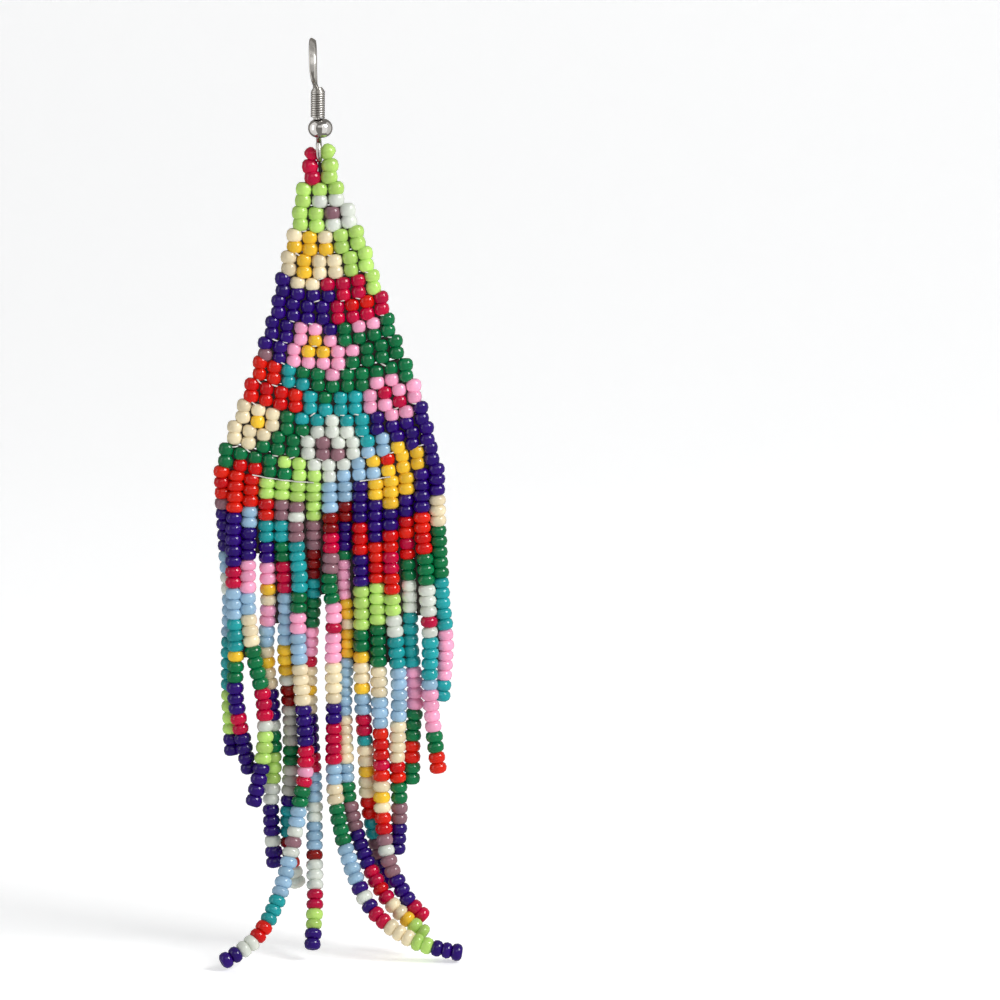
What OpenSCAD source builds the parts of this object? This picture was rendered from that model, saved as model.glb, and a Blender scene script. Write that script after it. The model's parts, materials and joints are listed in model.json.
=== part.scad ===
// Beaded drop earring: a fan of glass seed beads with a long fringe, on a wire ear hook.
// Millimetres. +Z is up, the beaded face looks towards -Y, and +X is to the right of that view.
// The origin is the underside of the hook's arch, where the ear lobe carries it.

/* [Hook] */
// Diameter of the round wire in the loop and the stem
wire_d = 0.74; // [0.66:0.02:0.8]
// Radius of the arch over the lobe, to the middle of the wire
arch_r = 3.7; // [3.4:0.1:4.2]
// Height from the arch's underside down to the thread in the loop
hook_drop = 16; // [15:0.5:20]
// Angle by which the stem leans forwards
stem_lean = 6; // [4:1:8]
// Width of the flattened stretch of wire over the arch
flat_w = 0.96; // [0.8:0.02:1.1]
// Thickness of the flattened stretch
flat_t = 0.56; // [0.5:0.02:0.7]
// Inside radius of the wire loop that holds the thread
loop_r = 1; // [0.9:0.05:1.2]
// Diameter of the ball
ball_d = 3.4; // [3:0.1:3.8]
// Height of the ball, which is a little flattened
ball_h = 2.6; // [2.2:0.1:3]
// Outside diameter of the wound coil
coil_d = 2; // [1.8:0.1:2.4]
// Turns of the coil
coil_turns = 12; // [8:1:14]
// Diameter of the coil's thin wire
coil_wire_d = 0.33; // [0.28:0.01:0.36]

/* [Beaded fan] */
// Diameter of a seed bead
bead_d = 2; // [1.9:0.05:2.05]
// Beads across the lowest row, and so strands in the fringe
columns = 15; // [15:1:15]
// Distance between columns in the rows of the fan
column_pitch = 2.11; // [2.0:0.01:2.15]
// Column pitch gained by each row above the ninth
upper_spread = 0.028; // [0:0.004:0.04]
// Distance between columns in the lowest row
ladder_pitch = 2.08; // [2.06:0.01:2.15]
// Height of a row, which is two beads tall
row_pitch = 3.23; // [3.1:0.01:3.4]
// Depth of the middle of the three-bead row below the thread
first_row_depth = 5.45; // [5.3:0.05:5.8]

/* [Fringe] */
// Diameter of a strand
strand_d = 2; // [1.8:0.05:2]
// Gap between the lowest row and the top of each strand
strand_gap = 0.2; // [0.1:0.05:0.4]
// Distance between the rings of a strand's tube
ring_step = 4; // [3:0.5:5]

/* [Hidden] */

$fn = 48;
clearance = 0.06;
thread_d = 0.3;
wire_r = wire_d / 2;

// The pivot is the thread's middle, where it bears on the loop.
pivot_z = -hook_drop;
loop_z = pivot_z - thread_d / 2 - clearance + loop_r;

// Distances along the stem from the middle of the loop.
ball_s = loop_r + wire_d + clearance + ball_h / 2;
coil_s = ball_s + ball_h / 2 + clearance;
coil_pitch = coil_wire_d - 0.01;
coil_len = coil_turns * coil_pitch;
stem_s = coil_s + coil_len + 0.3;

// The wire above the coil swings forwards into the arch, and ends in a tail behind.
bend_wire_d = 0.66;
side_bow = 0.4;
arch_z = flat_t / 2 - arch_r;
tail_end = [-0.5, arch_r + 1.6, -12.8];
wire_sides = 12;

function on_stem(s) = [0, -s * sin(stem_lean), loop_z + s * cos(stem_lean)];
function bezier(a, b, c, d, t) =
    pow(1 - t, 3) * a + 3 * t * pow(1 - t, 2) * b + 3 * t * t * (1 - t) * c + t * t * t * d;

// Stations of the upper wire: place, half width and half thickness.
bend_start = on_stem(stem_s - 0.3);
arch_front = [-side_bow, -arch_r, arch_z];
arch_back = [-side_bow, arch_r, arch_z];
bend_pull = 1.7;
bend_steps = 8;
arch_steps = 16;
tail_steps = 9;
bend_stations = [for (i = [0 : bend_steps - 1]) let (t = i / bend_steps)
    [bezier(bend_start, bend_start + bend_pull * (on_stem(1) - on_stem(0)),
            arch_front - [0, 0, bend_pull], arch_front, t),
     bend_wire_d / 2 + (flat_w - bend_wire_d) / 2 * pow(t, 4),
     bend_wire_d / 2 + (flat_t - bend_wire_d) / 2 * pow(t, 4)]];
arch_stations = [for (i = [0 : arch_steps]) let (a = 180 * i / arch_steps)
    [[-side_bow * (1 - sin(a)), -arch_r * cos(a), arch_z + arch_r * sin(a)],
     flat_w / 2 - (flat_w - bend_wire_d) / 2 * pow(i / arch_steps, 3),
     flat_t / 2 - (flat_t - bend_wire_d) / 2 * pow(i / arch_steps, 3)]];
tail_stations = [for (i = [1 : tail_steps]) let (t = i / tail_steps)
    [bezier(arch_back, arch_back - [0, 0, 3.6], tail_end + [0, -1.4, 2.8], tail_end, t),
     bend_wire_d / 2, bend_wire_d / 2]];
tail_tip = [[tail_end + [0, 0.13, -0.25], bend_wire_d / 4, bend_wire_d / 4]];
wire_stations = concat(bend_stations, arch_stations, tail_stations, tail_tip);

// Rows of the fan: a row of n beads is an arc whose radius grows down the fan.
first_row = 2;
row_radius_7 = 22.5;
row_radius_step = 1.85;
seam = 0.12;
edge_r = 0.45;

// The rows slant down a little to the right, and each drifts off the hanging line: one value a row, from the top.
row_slant = 1.5;
row_drift = [0.15, 0, 0.45, 0.6, 0.7, 0.65, 0.65, 0.6, 0.65, 0.65, 0.55, 0.45, 0.35, 0.15];
function row_radius(n) = row_radius_7 + row_radius_step * (n - 7);
function row_z(n) = pivot_z - first_row_depth - row_pitch * (n - 3);
spread_rows = 9;
function pitch_of(n) = n == columns ? ladder_pitch : column_pitch + upper_spread * max(0, spread_rows - n);
function on_row(n, across, down) = let (
        r = row_radius(n) + down,
        a = across / row_radius(n) * 180 / PI,
        x = r * sin(a),
        z = row_radius(n) - r * cos(a))
    [row_drift[n - first_row] + x * cos(row_slant) + z * sin(row_slant), 0,
     row_z(n) + z * cos(row_slant) - x * sin(row_slant)];

// The wire loop stands in this notch between the two columns of the top row, which is cut flat on top.
notch_half = 0.5;
notch_depth = 1.95;
flat_depth = 0.55;

// Beads beside the wire loop, which hold the thread that runs through it.
top_bead_d = 1.8;
top_bead_h = 1.5;
top_bead_x = 1.42;
top_bead_tilt = 25;
top_bead_rise = [0.55, 0.85];

// Strands: points that each one passes below the fan, then where its tip ends.
strand_points = [
    [[-15.2, 1.1, -68], [-14.9, 1.5, -78], [-15.2, 1.5, -85], [-15.4, 1.5, -92], [-15.4, 1.2, -100.2]],
    [[-13.5, -0.6, -68], [-14.1, -0.7, -78], [-14.2, -0.7, -85], [-14.4, -0.6, -92], [-13, 0.3, -102.7]],
    [[-11.4, -0.2, -68], [-11.9, -0.6, -78], [-11.4, -0.9, -85], [-10.3, -0.9, -92],
     [-10.4, -1.3, -99], [-12.5, -1.9, -107]],
    [[-8.9, 0, -68], [-9.2, 0.4, -78], [-9.8, 1.2, -86], [-9.2, 1.4, -93],
     [-9.3, 1.3, -101], [-10, 0.6, -108], [-9.9, 0, -116.3]],
    [[-6.7, 0, -68], [-7, 0.1, -78], [-7.1, 0.4, -86], [-6.9, 0.8, -93],
     [-7.2, 0.9, -101], [-7.6, 0.9, -108], [-7.6, 0.9, -114], [-6.6, 0.9, -119.5]],
    [[-4.6, -0.3, -68], [-5, -0.7, -78], [-5.1, -0.9, -85], [-4.7, -1, -92], [-4.4, -1.1, -101],
     [-5.5, -1.5, -107], [-7.2, -2.7, -114], [-9.4, -5.2, -120.5], [-12.6, -7.8, -125], [-17.2, -9.6, -127.6]],
    [[-2.6, 0.4, -68], [-3.1, 0.8, -78], [-3.7, 1.1, -85], [-3.9, 1.2, -92], [-3.7, 1.1, -101],
     [-3.6, 0.4, -107], [-4, -0.6, -114], [-4.2, -3, -121], [-4.7, -5.6, -127]],
    [[0, -0.4, -68], [-0.1, -0.7, -78], [-0.5, -0.7, -85], [-0.5, -0.7, -92], [-0.9, -0.8, -101],
     [-0.8, -1, -107], [0.6, -2.2, -114], [3.2, -4.8, -120.6], [6.6, -6.9, -124.1],
     [11.2, -8, -126.3], [16.4, -8.6, -127.5]],
    [[1.9, 0.6, -68], [1.5, 1.1, -78], [1.5, 1.1, -85], [1.1, 1, -92], [1.2, 0.8, -101],
     [1.4, 0.3, -107], [3.2, -0.9, -114], [6.3, -3.6, -120.6], [11.6, -5.4, -125.6]],
    [[4, 0, -68], [3.8, 0.1, -78], [3.6, 0.1, -85], [3.4, 0.3, -92], [3.6, 0.5, -101],
     [3.7, 0.9, -107], [4.9, 1.3, -114], [6.6, 0.9, -120]],
    [[6.2, 0, -68], [6, 0, -78], [5.9, -0.1, -85], [5.8, -0.2, -92], [5.7, -0.5, -101],
     [5.7, -1, -108], [6.6, -2, -115], [8.9, -2.9, -120.4], [11.3, -3.2, -123.7]],
    [[8.4, -0.2, -68], [8.3, -0.4, -78], [8.6, -0.4, -85], [8.6, -0.4, -92], [7.9, -0.3, -101],
     [8.1, 0, -108], [7.7, 0.3, -115]],
    [[10.6, 0.3, -68], [10.6, 0.6, -78], [10.6, 0.7, -85], [10.7, 0.7, -92], [10.2, 0.7, -99],
     [10, 0.6, -105]],
    [[12.8, -0.2, -68], [12.9, -0.4, -78], [13.1, -0.5, -85], [12.8, -0.5, -92], [13.7, -0.5, -103.3]],
    [[15.1, 0.4, -68], [15.2, 0.6, -78], [15.2, 0.8, -85], [14.5, 0.9, -93.2]]
];
strand_sides = 8;
strand_lead = 0.6;
strand_colours = ["SkyBlue", "Indigo", "Crimson", "Pink", "Crimson", "SkyBlue", "Wheat", "Crimson",
    "Orange", "YellowGreen", "Red", "SeaGreen", "SeaGreen", "HotPink", "Teal"];

function strand_name(k) = str("strand_", k < 10 ? "0" : "", k);

// A strand leaves the lowest row square to it for the length of its lead, and then passes its points.
function strand_route(k) = let (across = (k - (columns + 1) / 2) * ladder_pitch, top = row_pitch / 2 + strand_gap)
    concat([on_row(columns, across, top)],
        smooth(concat([on_row(columns, across, top + strand_lead)], strand_points[k - 1]), ring_step));

// A smooth line through the points of a route.
function spline(p, i, t) = let (a = p[max(i - 1, 0)], b = p[i], c = p[i + 1], d = p[min(i + 2, len(p) - 1)])
    0.5 * ((2 * b) + (c - a) * t + (2 * a - 5 * b + 4 * c - d) * t * t + (3 * b - a - 3 * c + d) * t * t * t);
function smooth(p, step) = concat(
    [for (i = [0 : len(p) - 2]) let (n = max(1, round(norm(p[i + 1] - p[i]) / step)))
        for (j = [0 : n - 1]) spline(p, i, j / n)],
    [p[len(p) - 1]]);

// Sweeps an oval with its width along X, or as near to it as the path allows, through the stations.
function unit(v) = v / norm(v);
function station_ring(s, i, sides) = let (
        p = s[i][0],
        along = unit(s[min(i + 1, len(s) - 1)][0] - s[max(i - 1, 0)][0]),
        thick = unit(cross(along, [1, 0, 0])),
        wide = cross(thick, along))
    [for (j = [0 : sides - 1]) let (a = 360 * (j + 0.5) / sides)
        p + wide * s[i][1] * cos(a) + thick * s[i][2] * sin(a)];
module sweep(stations, sides) {
    n = len(stations);
    points = [for (i = [0 : n - 1]) each station_ring(stations, i, sides)];
    start_cap = [[for (j = [0 : sides - 1]) j]];
    end_cap = [[for (j = [sides - 1 : -1 : 0]) (n - 1) * sides + j]];
    walls = [for (i = [0 : n - 2], j = [0 : sides - 1]) let (k = (j + 1) % sides)
        [i * sides + j, (i + 1) * sides + j, (i + 1) * sides + k, i * sides + k]];
    polyhedron(points, concat(start_cap, walls, end_cap), convexity = 8);
}

module along_stem(s) {
    translate(on_stem(s)) rotate([stem_lean, 0, 0]) children();
}

// A torus of round wire that stands in the YZ plane.
module wire_ring(radius, thickness) {
    rotate([0, 90, 0]) rotate_extrude() translate([radius, 0]) circle(d = thickness);
}

module ear_hook() {
    color("silver") union() {
        translate([0, 0, loop_z]) wire_ring(loop_r + wire_r, wire_d);
        along_stem(loop_r + wire_r) cylinder(h = stem_s - loop_r - wire_r, d = wire_d);
        sweep(wire_stations, wire_sides);
    }
}

// The close turns of the coil are drawn as ribs on a sleeve, and the last two close in on the wire.
module hook_coil() {
    bore_r = wire_r + clearance;
    rib_r = coil_d / 2 - coil_wire_d / 2;
    color("silver") along_stem(coil_s) rotate_extrude() union() {
        translate([bore_r, 0]) square([rib_r - bore_r, coil_len]);
        for (i = [0 : coil_turns - 1])
            translate([rib_r, (i + 0.5) * coil_pitch]) circle(d = coil_wire_d);
        translate([rib_r - 0.24, coil_len + 0.1]) circle(d = coil_wire_d);
    }
}

module hook_ball() {
    rim_r = ball_h / 2;
    color("silver") along_stem(ball_s) rotate_extrude() intersection() {
        translate([ball_d / 2 - rim_r, 0]) circle(r = rim_r);
        translate([wire_r + clearance, -ball_h]) square([ball_d, 2 * ball_h]);
    }
}

// A bead as a short round barrel on its own axis.
module bead_profile(d, h, r) {
    translate([0, -h / 2]) square([d / 2 - r, h]);
    translate([0, r - h / 2]) square([d / 2, h - 2 * r]);
    for (z = [r - h / 2, h / 2 - r]) translate([d / 2 - r, z]) circle(r = r);
}

module top_loop() {
    color("crimson") union() {
        translate([-top_bead_x, 0, pivot_z]) rotate([0, 90, 0]) cylinder(h = 2 * top_bead_x, d = thread_d);
        for (side = [0, 1])
            translate([(2 * side - 1) * top_bead_x, 0, pivot_z + top_bead_rise[side]])
                rotate([0, (1 - 2 * side) * top_bead_tilt, 0])
                rotate_extrude() bead_profile(top_bead_d, top_bead_h, edge_r);
    }
}

// Two lines of beads with rounded edges, seen end on.
module row_profile(n) {
    h = row_pitch / 2 + seam;
    for (down = [-row_pitch / 4, row_pitch / 4]) translate([row_radius(n) + down, 0]) {
        square([h - 2 * edge_r, bead_d], center = true);
        square([h, bead_d - 2 * edge_r], center = true);
        for (x = [-1, 1], y = [-1, 1])
            translate([x * (h / 2 - edge_r), y * (bead_d / 2 - edge_r)]) circle(r = edge_r);
    }
}

module bead_row(n) {
    half = n * pitch_of(n) / 2 / row_radius(n) * 180 / PI;
    translate([row_drift[n - first_row], 0, row_z(n)]) rotate([0, row_slant, 0]) translate([0, 0, row_radius(n)])
        rotate([90, 0, 0]) rotate([0, 0, -90 - half]) rotate_extrude(angle = 2 * half) row_profile(n);
}

module bead_panel() {
    color("seagreen") difference() {
        union() for (n = [first_row : columns]) bead_row(n);
        translate([-notch_half, -bead_d, pivot_z - notch_depth])
            cube([2 * notch_half, 2 * bead_d, 2 * notch_depth]);
        translate([-2 * column_pitch, -bead_d, pivot_z - flat_depth])
            cube([4 * column_pitch, 2 * bead_d, 2 * flat_depth]);
    }
}

module strand(k) {
    route = strand_route(k);
    tip = route[len(route) - 1];
    stations = concat(
        [for (p = route) [p, strand_d / 2, strand_d / 2]],
        [[tip + 0.4 * unit(tip - route[len(route) - 2]), strand_d / 4, strand_d / 4]]);
    color(strand_colours[k - 1]) sweep(stations, strand_sides);
}

ear_hook();
hook_coil();
hook_ball();
top_loop();
bead_panel();
for (k = [1 : columns])
    strand(k);
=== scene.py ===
"""A beaded drop earring: a flowered fan of glass seed beads with a long fringe, on a wire ear hook.

Metres. +Z is up, the beaded face looks towards -Y, and the origin is the underside of the hook's arch.
"""

import json
import math
import random

import bpy
import numpy as np
from mathutils import Matrix, Vector


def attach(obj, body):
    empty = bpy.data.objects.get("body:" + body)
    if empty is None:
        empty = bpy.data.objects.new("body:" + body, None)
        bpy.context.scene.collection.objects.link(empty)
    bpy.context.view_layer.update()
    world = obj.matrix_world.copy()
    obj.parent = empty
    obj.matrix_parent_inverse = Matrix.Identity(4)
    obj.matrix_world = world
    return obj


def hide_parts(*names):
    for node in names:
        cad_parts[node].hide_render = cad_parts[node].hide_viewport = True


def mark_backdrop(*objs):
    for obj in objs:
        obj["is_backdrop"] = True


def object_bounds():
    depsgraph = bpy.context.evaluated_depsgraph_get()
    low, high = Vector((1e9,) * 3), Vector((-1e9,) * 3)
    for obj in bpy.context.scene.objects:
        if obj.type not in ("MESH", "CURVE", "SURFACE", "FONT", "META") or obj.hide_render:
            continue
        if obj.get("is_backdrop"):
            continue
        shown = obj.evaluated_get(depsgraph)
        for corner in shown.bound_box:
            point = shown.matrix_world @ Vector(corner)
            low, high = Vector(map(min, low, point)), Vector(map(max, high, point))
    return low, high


bl_info = {
    "name": "Beaded drop earring",
    "version": (1, 0, 0),
    "blender": (4, 5, 0),
    "location": "3D View > Sidebar > Earring",
    "description": "Builds a fringed seed-bead earring, one operator for each kind of piece",
    "category": "Add Mesh",
}

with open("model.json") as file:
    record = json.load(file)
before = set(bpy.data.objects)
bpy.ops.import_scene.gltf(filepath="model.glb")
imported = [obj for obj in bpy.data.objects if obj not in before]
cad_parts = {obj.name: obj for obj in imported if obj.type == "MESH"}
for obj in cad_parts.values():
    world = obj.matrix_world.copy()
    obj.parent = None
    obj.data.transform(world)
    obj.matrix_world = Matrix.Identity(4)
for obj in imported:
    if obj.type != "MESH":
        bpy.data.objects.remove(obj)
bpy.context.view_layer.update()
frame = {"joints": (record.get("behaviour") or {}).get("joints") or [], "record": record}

MM = 0.001
SWING = next(joint for joint in frame["joints"] if joint["name"] == "drop_swing")
PIVOT = Vector(SWING["pos_m"])

# Glass colours: the letter used in the charts, and the colour as it looks in daylight.
GLASS = {
    "lime": ("l", "B7DF70"),
    "green": ("g", "047040"),
    "teal": ("t", "1E9DA0"),
    "sky": ("s", "96BAD4"),
    "indigo": ("i", "27026D"),
    "crimson": ("k", "C1003B"),
    "red": ("r", "D41109"),
    "garnet": ("d", "820407"),
    "pink": ("p", "F8A6C7"),
    "mauve": ("m", "8E6670"),
    "cream": ("c", "EBDBB6"),
    "white": ("w", "D9DED3"),
    "yellow": ("y", "F3C131"),
    "grey": ("a", "B9B7AE"),
}
LETTERS = {letter: index for index, (letter, _) in enumerate(GLASS.values())}


def linear(hex_colour):
    """The linear colour of a daylight colour written as six hex digits."""
    parts = [int(hex_colour[i:i + 2], 16) / 255 for i in (0, 2, 4)]
    return tuple(p / 12.92 if p <= 0.04045 else ((p + 0.055) / 1.055) ** 2.4 for p in parts)


def length(name, description, millimetres):
    return bpy.props.FloatProperty(
        name=name, description=description, default=millimetres * MM, min=0.0,
        precision=5, subtype="DISTANCE", unit="LENGTH",
    )


def angle(name, description, degrees):
    return bpy.props.FloatProperty(
        name=name, description=description, default=math.radians(degrees), subtype="ANGLE",
    )


def share(name, description, default):
    return bpy.props.FloatProperty(
        name=name, description=description, default=default, min=0.0, max=1.0, subtype="FACTOR",
    )


def watts(name, description, default):
    return bpy.props.FloatProperty(
        name=name, description=description, default=default, min=0.0, unit="POWER",
    )


def paint(name, description, default):
    return bpy.props.FloatVectorProperty(
        name=name, description=description, default=default, size=3, min=0.0, max=1.0, subtype="COLOR",
    )


class HookSizes(bpy.types.PropertyGroup):
    """Sizes of the ear hook, its ball and its coil"""

    wire_diameter: length("Wire diameter", "Round wire of the loop and the stem", 0.74)
    bend_diameter: length("Bend diameter", "Wire where it is drawn thinner, in the bend and the tail", 0.66)
    flat_width: length("Flat width", "Width of the flattened stretch over the arch", 0.96)
    flat_thickness: length("Flat thickness", "Thickness of the flattened stretch", 0.56)
    arch_radius: length("Arch radius", "Radius of the arch to the middle of the wire", 3.7)
    loop_radius: length("Loop radius", "Inside radius of the loop that holds the thread", 1.0)
    stem_lean: angle("Stem lean", "How far the stem leans forwards", 6)
    side_bow: length("Side bow", "How far the upper wire stands off to the left", 0.34)
    arch_drop: length("Arch drop", "How much the arch sags below its full height", 0.35)
    arch_roll: angle("Arch roll", "How far the flattened wire turns about itself over the arch", 32)
    tail_reach: length("Tail reach", "How far the tail's end stands behind the arch", 1.6)
    tail_depth: length("Tail depth", "Depth of the tail's end below the arch's underside", 12.8)
    ball_diameter: length("Ball diameter", "The ball, across", 3.4)
    ball_height: length("Ball height", "The ball, along the stem", 2.6)
    coil_diameter: length("Coil diameter", "Outside diameter of the wound coil", 2.0)
    coil_wire: length("Coil wire", "Diameter of the coil's thin wire", 0.33)
    coil_turns: bpy.props.IntProperty(
        name="Coil turns", description="Turns of the wound coil", default=12, min=4, max=20,
    )


class BeadSizes(bpy.types.PropertyGroup):
    """Sizes of the seed beads, the thread and the fan"""

    diameter: length("Bead diameter", "A seed bead, across", 2.24)
    bead_length: length("Bead length", "A seed bead, along its hole", 1.88)
    hole: length("Hole", "Diameter of a bead's hole", 0.4)
    end_width: length("End width", "Diameter of the flat part of a bead's ends", 0.65)
    squareness: bpy.props.FloatProperty(
        name="Squareness", description="Exponent of the wall's outline: 2 is an oval, more is squarer",
        default=2.35, min=2.0, max=6.0,
    )
    size_spread: share("Size spread", "How much the beads differ in size", 0.035)
    tilt_spread: angle("Tilt spread", "How far a bead may tilt on its thread", 4.5)
    slack: length("Slack", "How far a bead may sit off its place in the fan", 0.05)
    column_pitch: length("Column pitch", "Distance between columns of the fan", 2.11)
    upper_spread: length("Upper spread", "Column pitch gained by each row above the ninth", 0.028)
    ladder_pitch: length("Ladder pitch", "Distance between columns of the lowest row", 2.08)
    row_pitch: length("Row pitch", "Height of a row, which is two beads tall", 3.23)
    first_row_depth: length("First row depth", "Depth of the three-bead row below the loop's thread", 5.45)
    thread: length("Thread", "Diameter of the beading thread", 0.2)
    seed: bpy.props.IntProperty(name="Seed", description="Seed of the beads' small differences", default=11)


class GlassColours(bpy.types.PropertyGroup):
    """One colour for each glass"""

    __annotations__ = {
        name: paint(name.capitalize(), f"Colour of the {name} beads", linear(colour))
        for name, (_, colour) in GLASS.items()
    }


class StageLook(bpy.types.PropertyGroup):
    """Camera and light"""

    camera_distance: length("Camera distance", "From the camera to the middle of the picture", 600)
    picture_width: length("Picture width", "What the picture takes in at that distance", 140)
    camera_height: angle("Camera height", "How far the camera looks down", 8)
    camera_roll: angle("Camera roll", "How far the hanging line leans in the picture", 1.7)
    key_power: watts("Key light", "Power of the light at the right", 4.6)
    fill_power: watts("Fill light", "Power of the light at the left", 0.7)
    front_power: watts("Front light", "Power of the light over the camera", 1.0)
    card_brightness: bpy.props.FloatProperty(
        name="Reflector cards", description="Brightness of the cards beside the ear hook, where 1 is white",
        default=0.85, min=0.0,
    )
    floor_colour: paint("Floor", "Colour of the floor and the wall behind", (0.9, 0.9, 0.9))


SETTINGS = {
    "earring_hook": HookSizes,
    "earring_beads": BeadSizes,
    "earring_glass": GlassColours,
    "earring_stage": StageLook,
}


# Node trees

class NodeMaker:
    """Adds nodes to a tree, with their settings and inputs, in one call each."""

    SPACING = 220

    def __init__(self, tree):
        self.tree = tree

    def link(self, output, socket):
        self.tree.links.new(output, socket)

    def add(self, kind, inputs=None, **settings):
        node = self.tree.nodes.new(kind)
        node.location = (self.SPACING * len(self.tree.nodes), 0)
        for name, value in settings.items():
            setattr(node, name, value)
        for key, value in (inputs or {}).items():
            if isinstance(key, str):
                socket = next(s for s in node.inputs if s.enabled and s.name == key)
            else:
                socket = node.inputs[key]
            if isinstance(value, bpy.types.NodeSocket):
                self.link(value, socket)
            else:
                socket.default_value = value
        return node

    def first(self, kind, inputs=None, **settings):
        """The first output of a new node that is switched on."""
        node = self.add(kind, inputs, **settings)
        return next(socket for socket in node.outputs if socket.enabled)

    def math(self, operation, *values):
        return self.first("ShaderNodeMath", dict(enumerate(values)), operation=operation)


def geometry_tree(name, sockets):
    """A new Geometry Nodes tree with these named inputs, its maker and its input and output nodes."""
    tree = bpy.data.node_groups.new(name, "GeometryNodeTree")
    tree.interface.new_socket(name="Geometry", in_out="INPUT", socket_type="NodeSocketGeometry")
    for socket_name, kind in sockets.items():
        tree.interface.new_socket(name=socket_name, in_out="INPUT", socket_type="NodeSocket" + kind)
    tree.interface.new_socket(name="Geometry", in_out="OUTPUT", socket_type="NodeSocketGeometry")
    make = NodeMaker(tree)
    return tree, make, make.add("NodeGroupInput").outputs, make.add("NodeGroupOutput").inputs


def run_tree(obj, tree, values):
    """Turns obj into the plain mesh that the tree makes of it with these named inputs."""
    modifier = obj.modifiers.new(tree.name, "NODES")
    modifier.node_group = tree
    for item in tree.interface.items_tree:
        if item.in_out == "INPUT" and item.name in values:
            modifier[item.identifier] = values[item.name]
    graph = bpy.context.evaluated_depsgraph_get()
    evaluated = obj.evaluated_get(graph)
    made = bpy.data.meshes.new_from_object(evaluated, preserve_all_data_layers=True, depsgraph=graph)
    obj.modifiers.remove(modifier)
    old = obj.data
    obj.data = made
    made.name = obj.name
    bpy.data.meshes.remove(old)
    return obj


OUTLINE_POINTS = 7
BEAD_SIDES = 10
THREAD_SIDES = 6


def bead_outline(make, wall, lip, half, squareness):
    """The outline of a bead's wall: a rounded block outside, and straight along the hole."""
    reach = math.radians(102)
    power = make.math("DIVIDE", 2.0, squareness)
    arc = make.first("GeometryNodeCurveArc", {
        "Resolution": OUTLINE_POINTS, "Radius": 1.0, "Start Angle": -reach, "Sweep Angle": 2 * reach,
    })
    closed = make.first("GeometryNodeSetSplineCyclic", {"Geometry": arc, "Cyclic": True})
    place = make.add("ShaderNodeSeparateXYZ", {0: make.first("GeometryNodeInputPosition")}).outputs

    def squared(part):
        """A part of the arc's place, moved so that the arc becomes a rounded block."""
        moved = make.math("POWER", make.math("ABSOLUTE", part), power)
        return make.math("MULTIPLY", moved, make.math("SIGN", part))

    out = squared(place["X"])
    outside = make.math("MULTIPLY", make.math("MAXIMUM", out, 0.0), wall)
    inside = make.math("MULTIPLY", make.math("MINIMUM", out, 0.0), lip)
    block = make.first("ShaderNodeCombineXYZ", {
        "X": make.math("ADD", outside, inside), "Y": make.math("MULTIPLY", squared(place["Y"]), half),
    })
    return make.first("GeometryNodeSetPosition", {"Geometry": closed, "Position": block})


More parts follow.
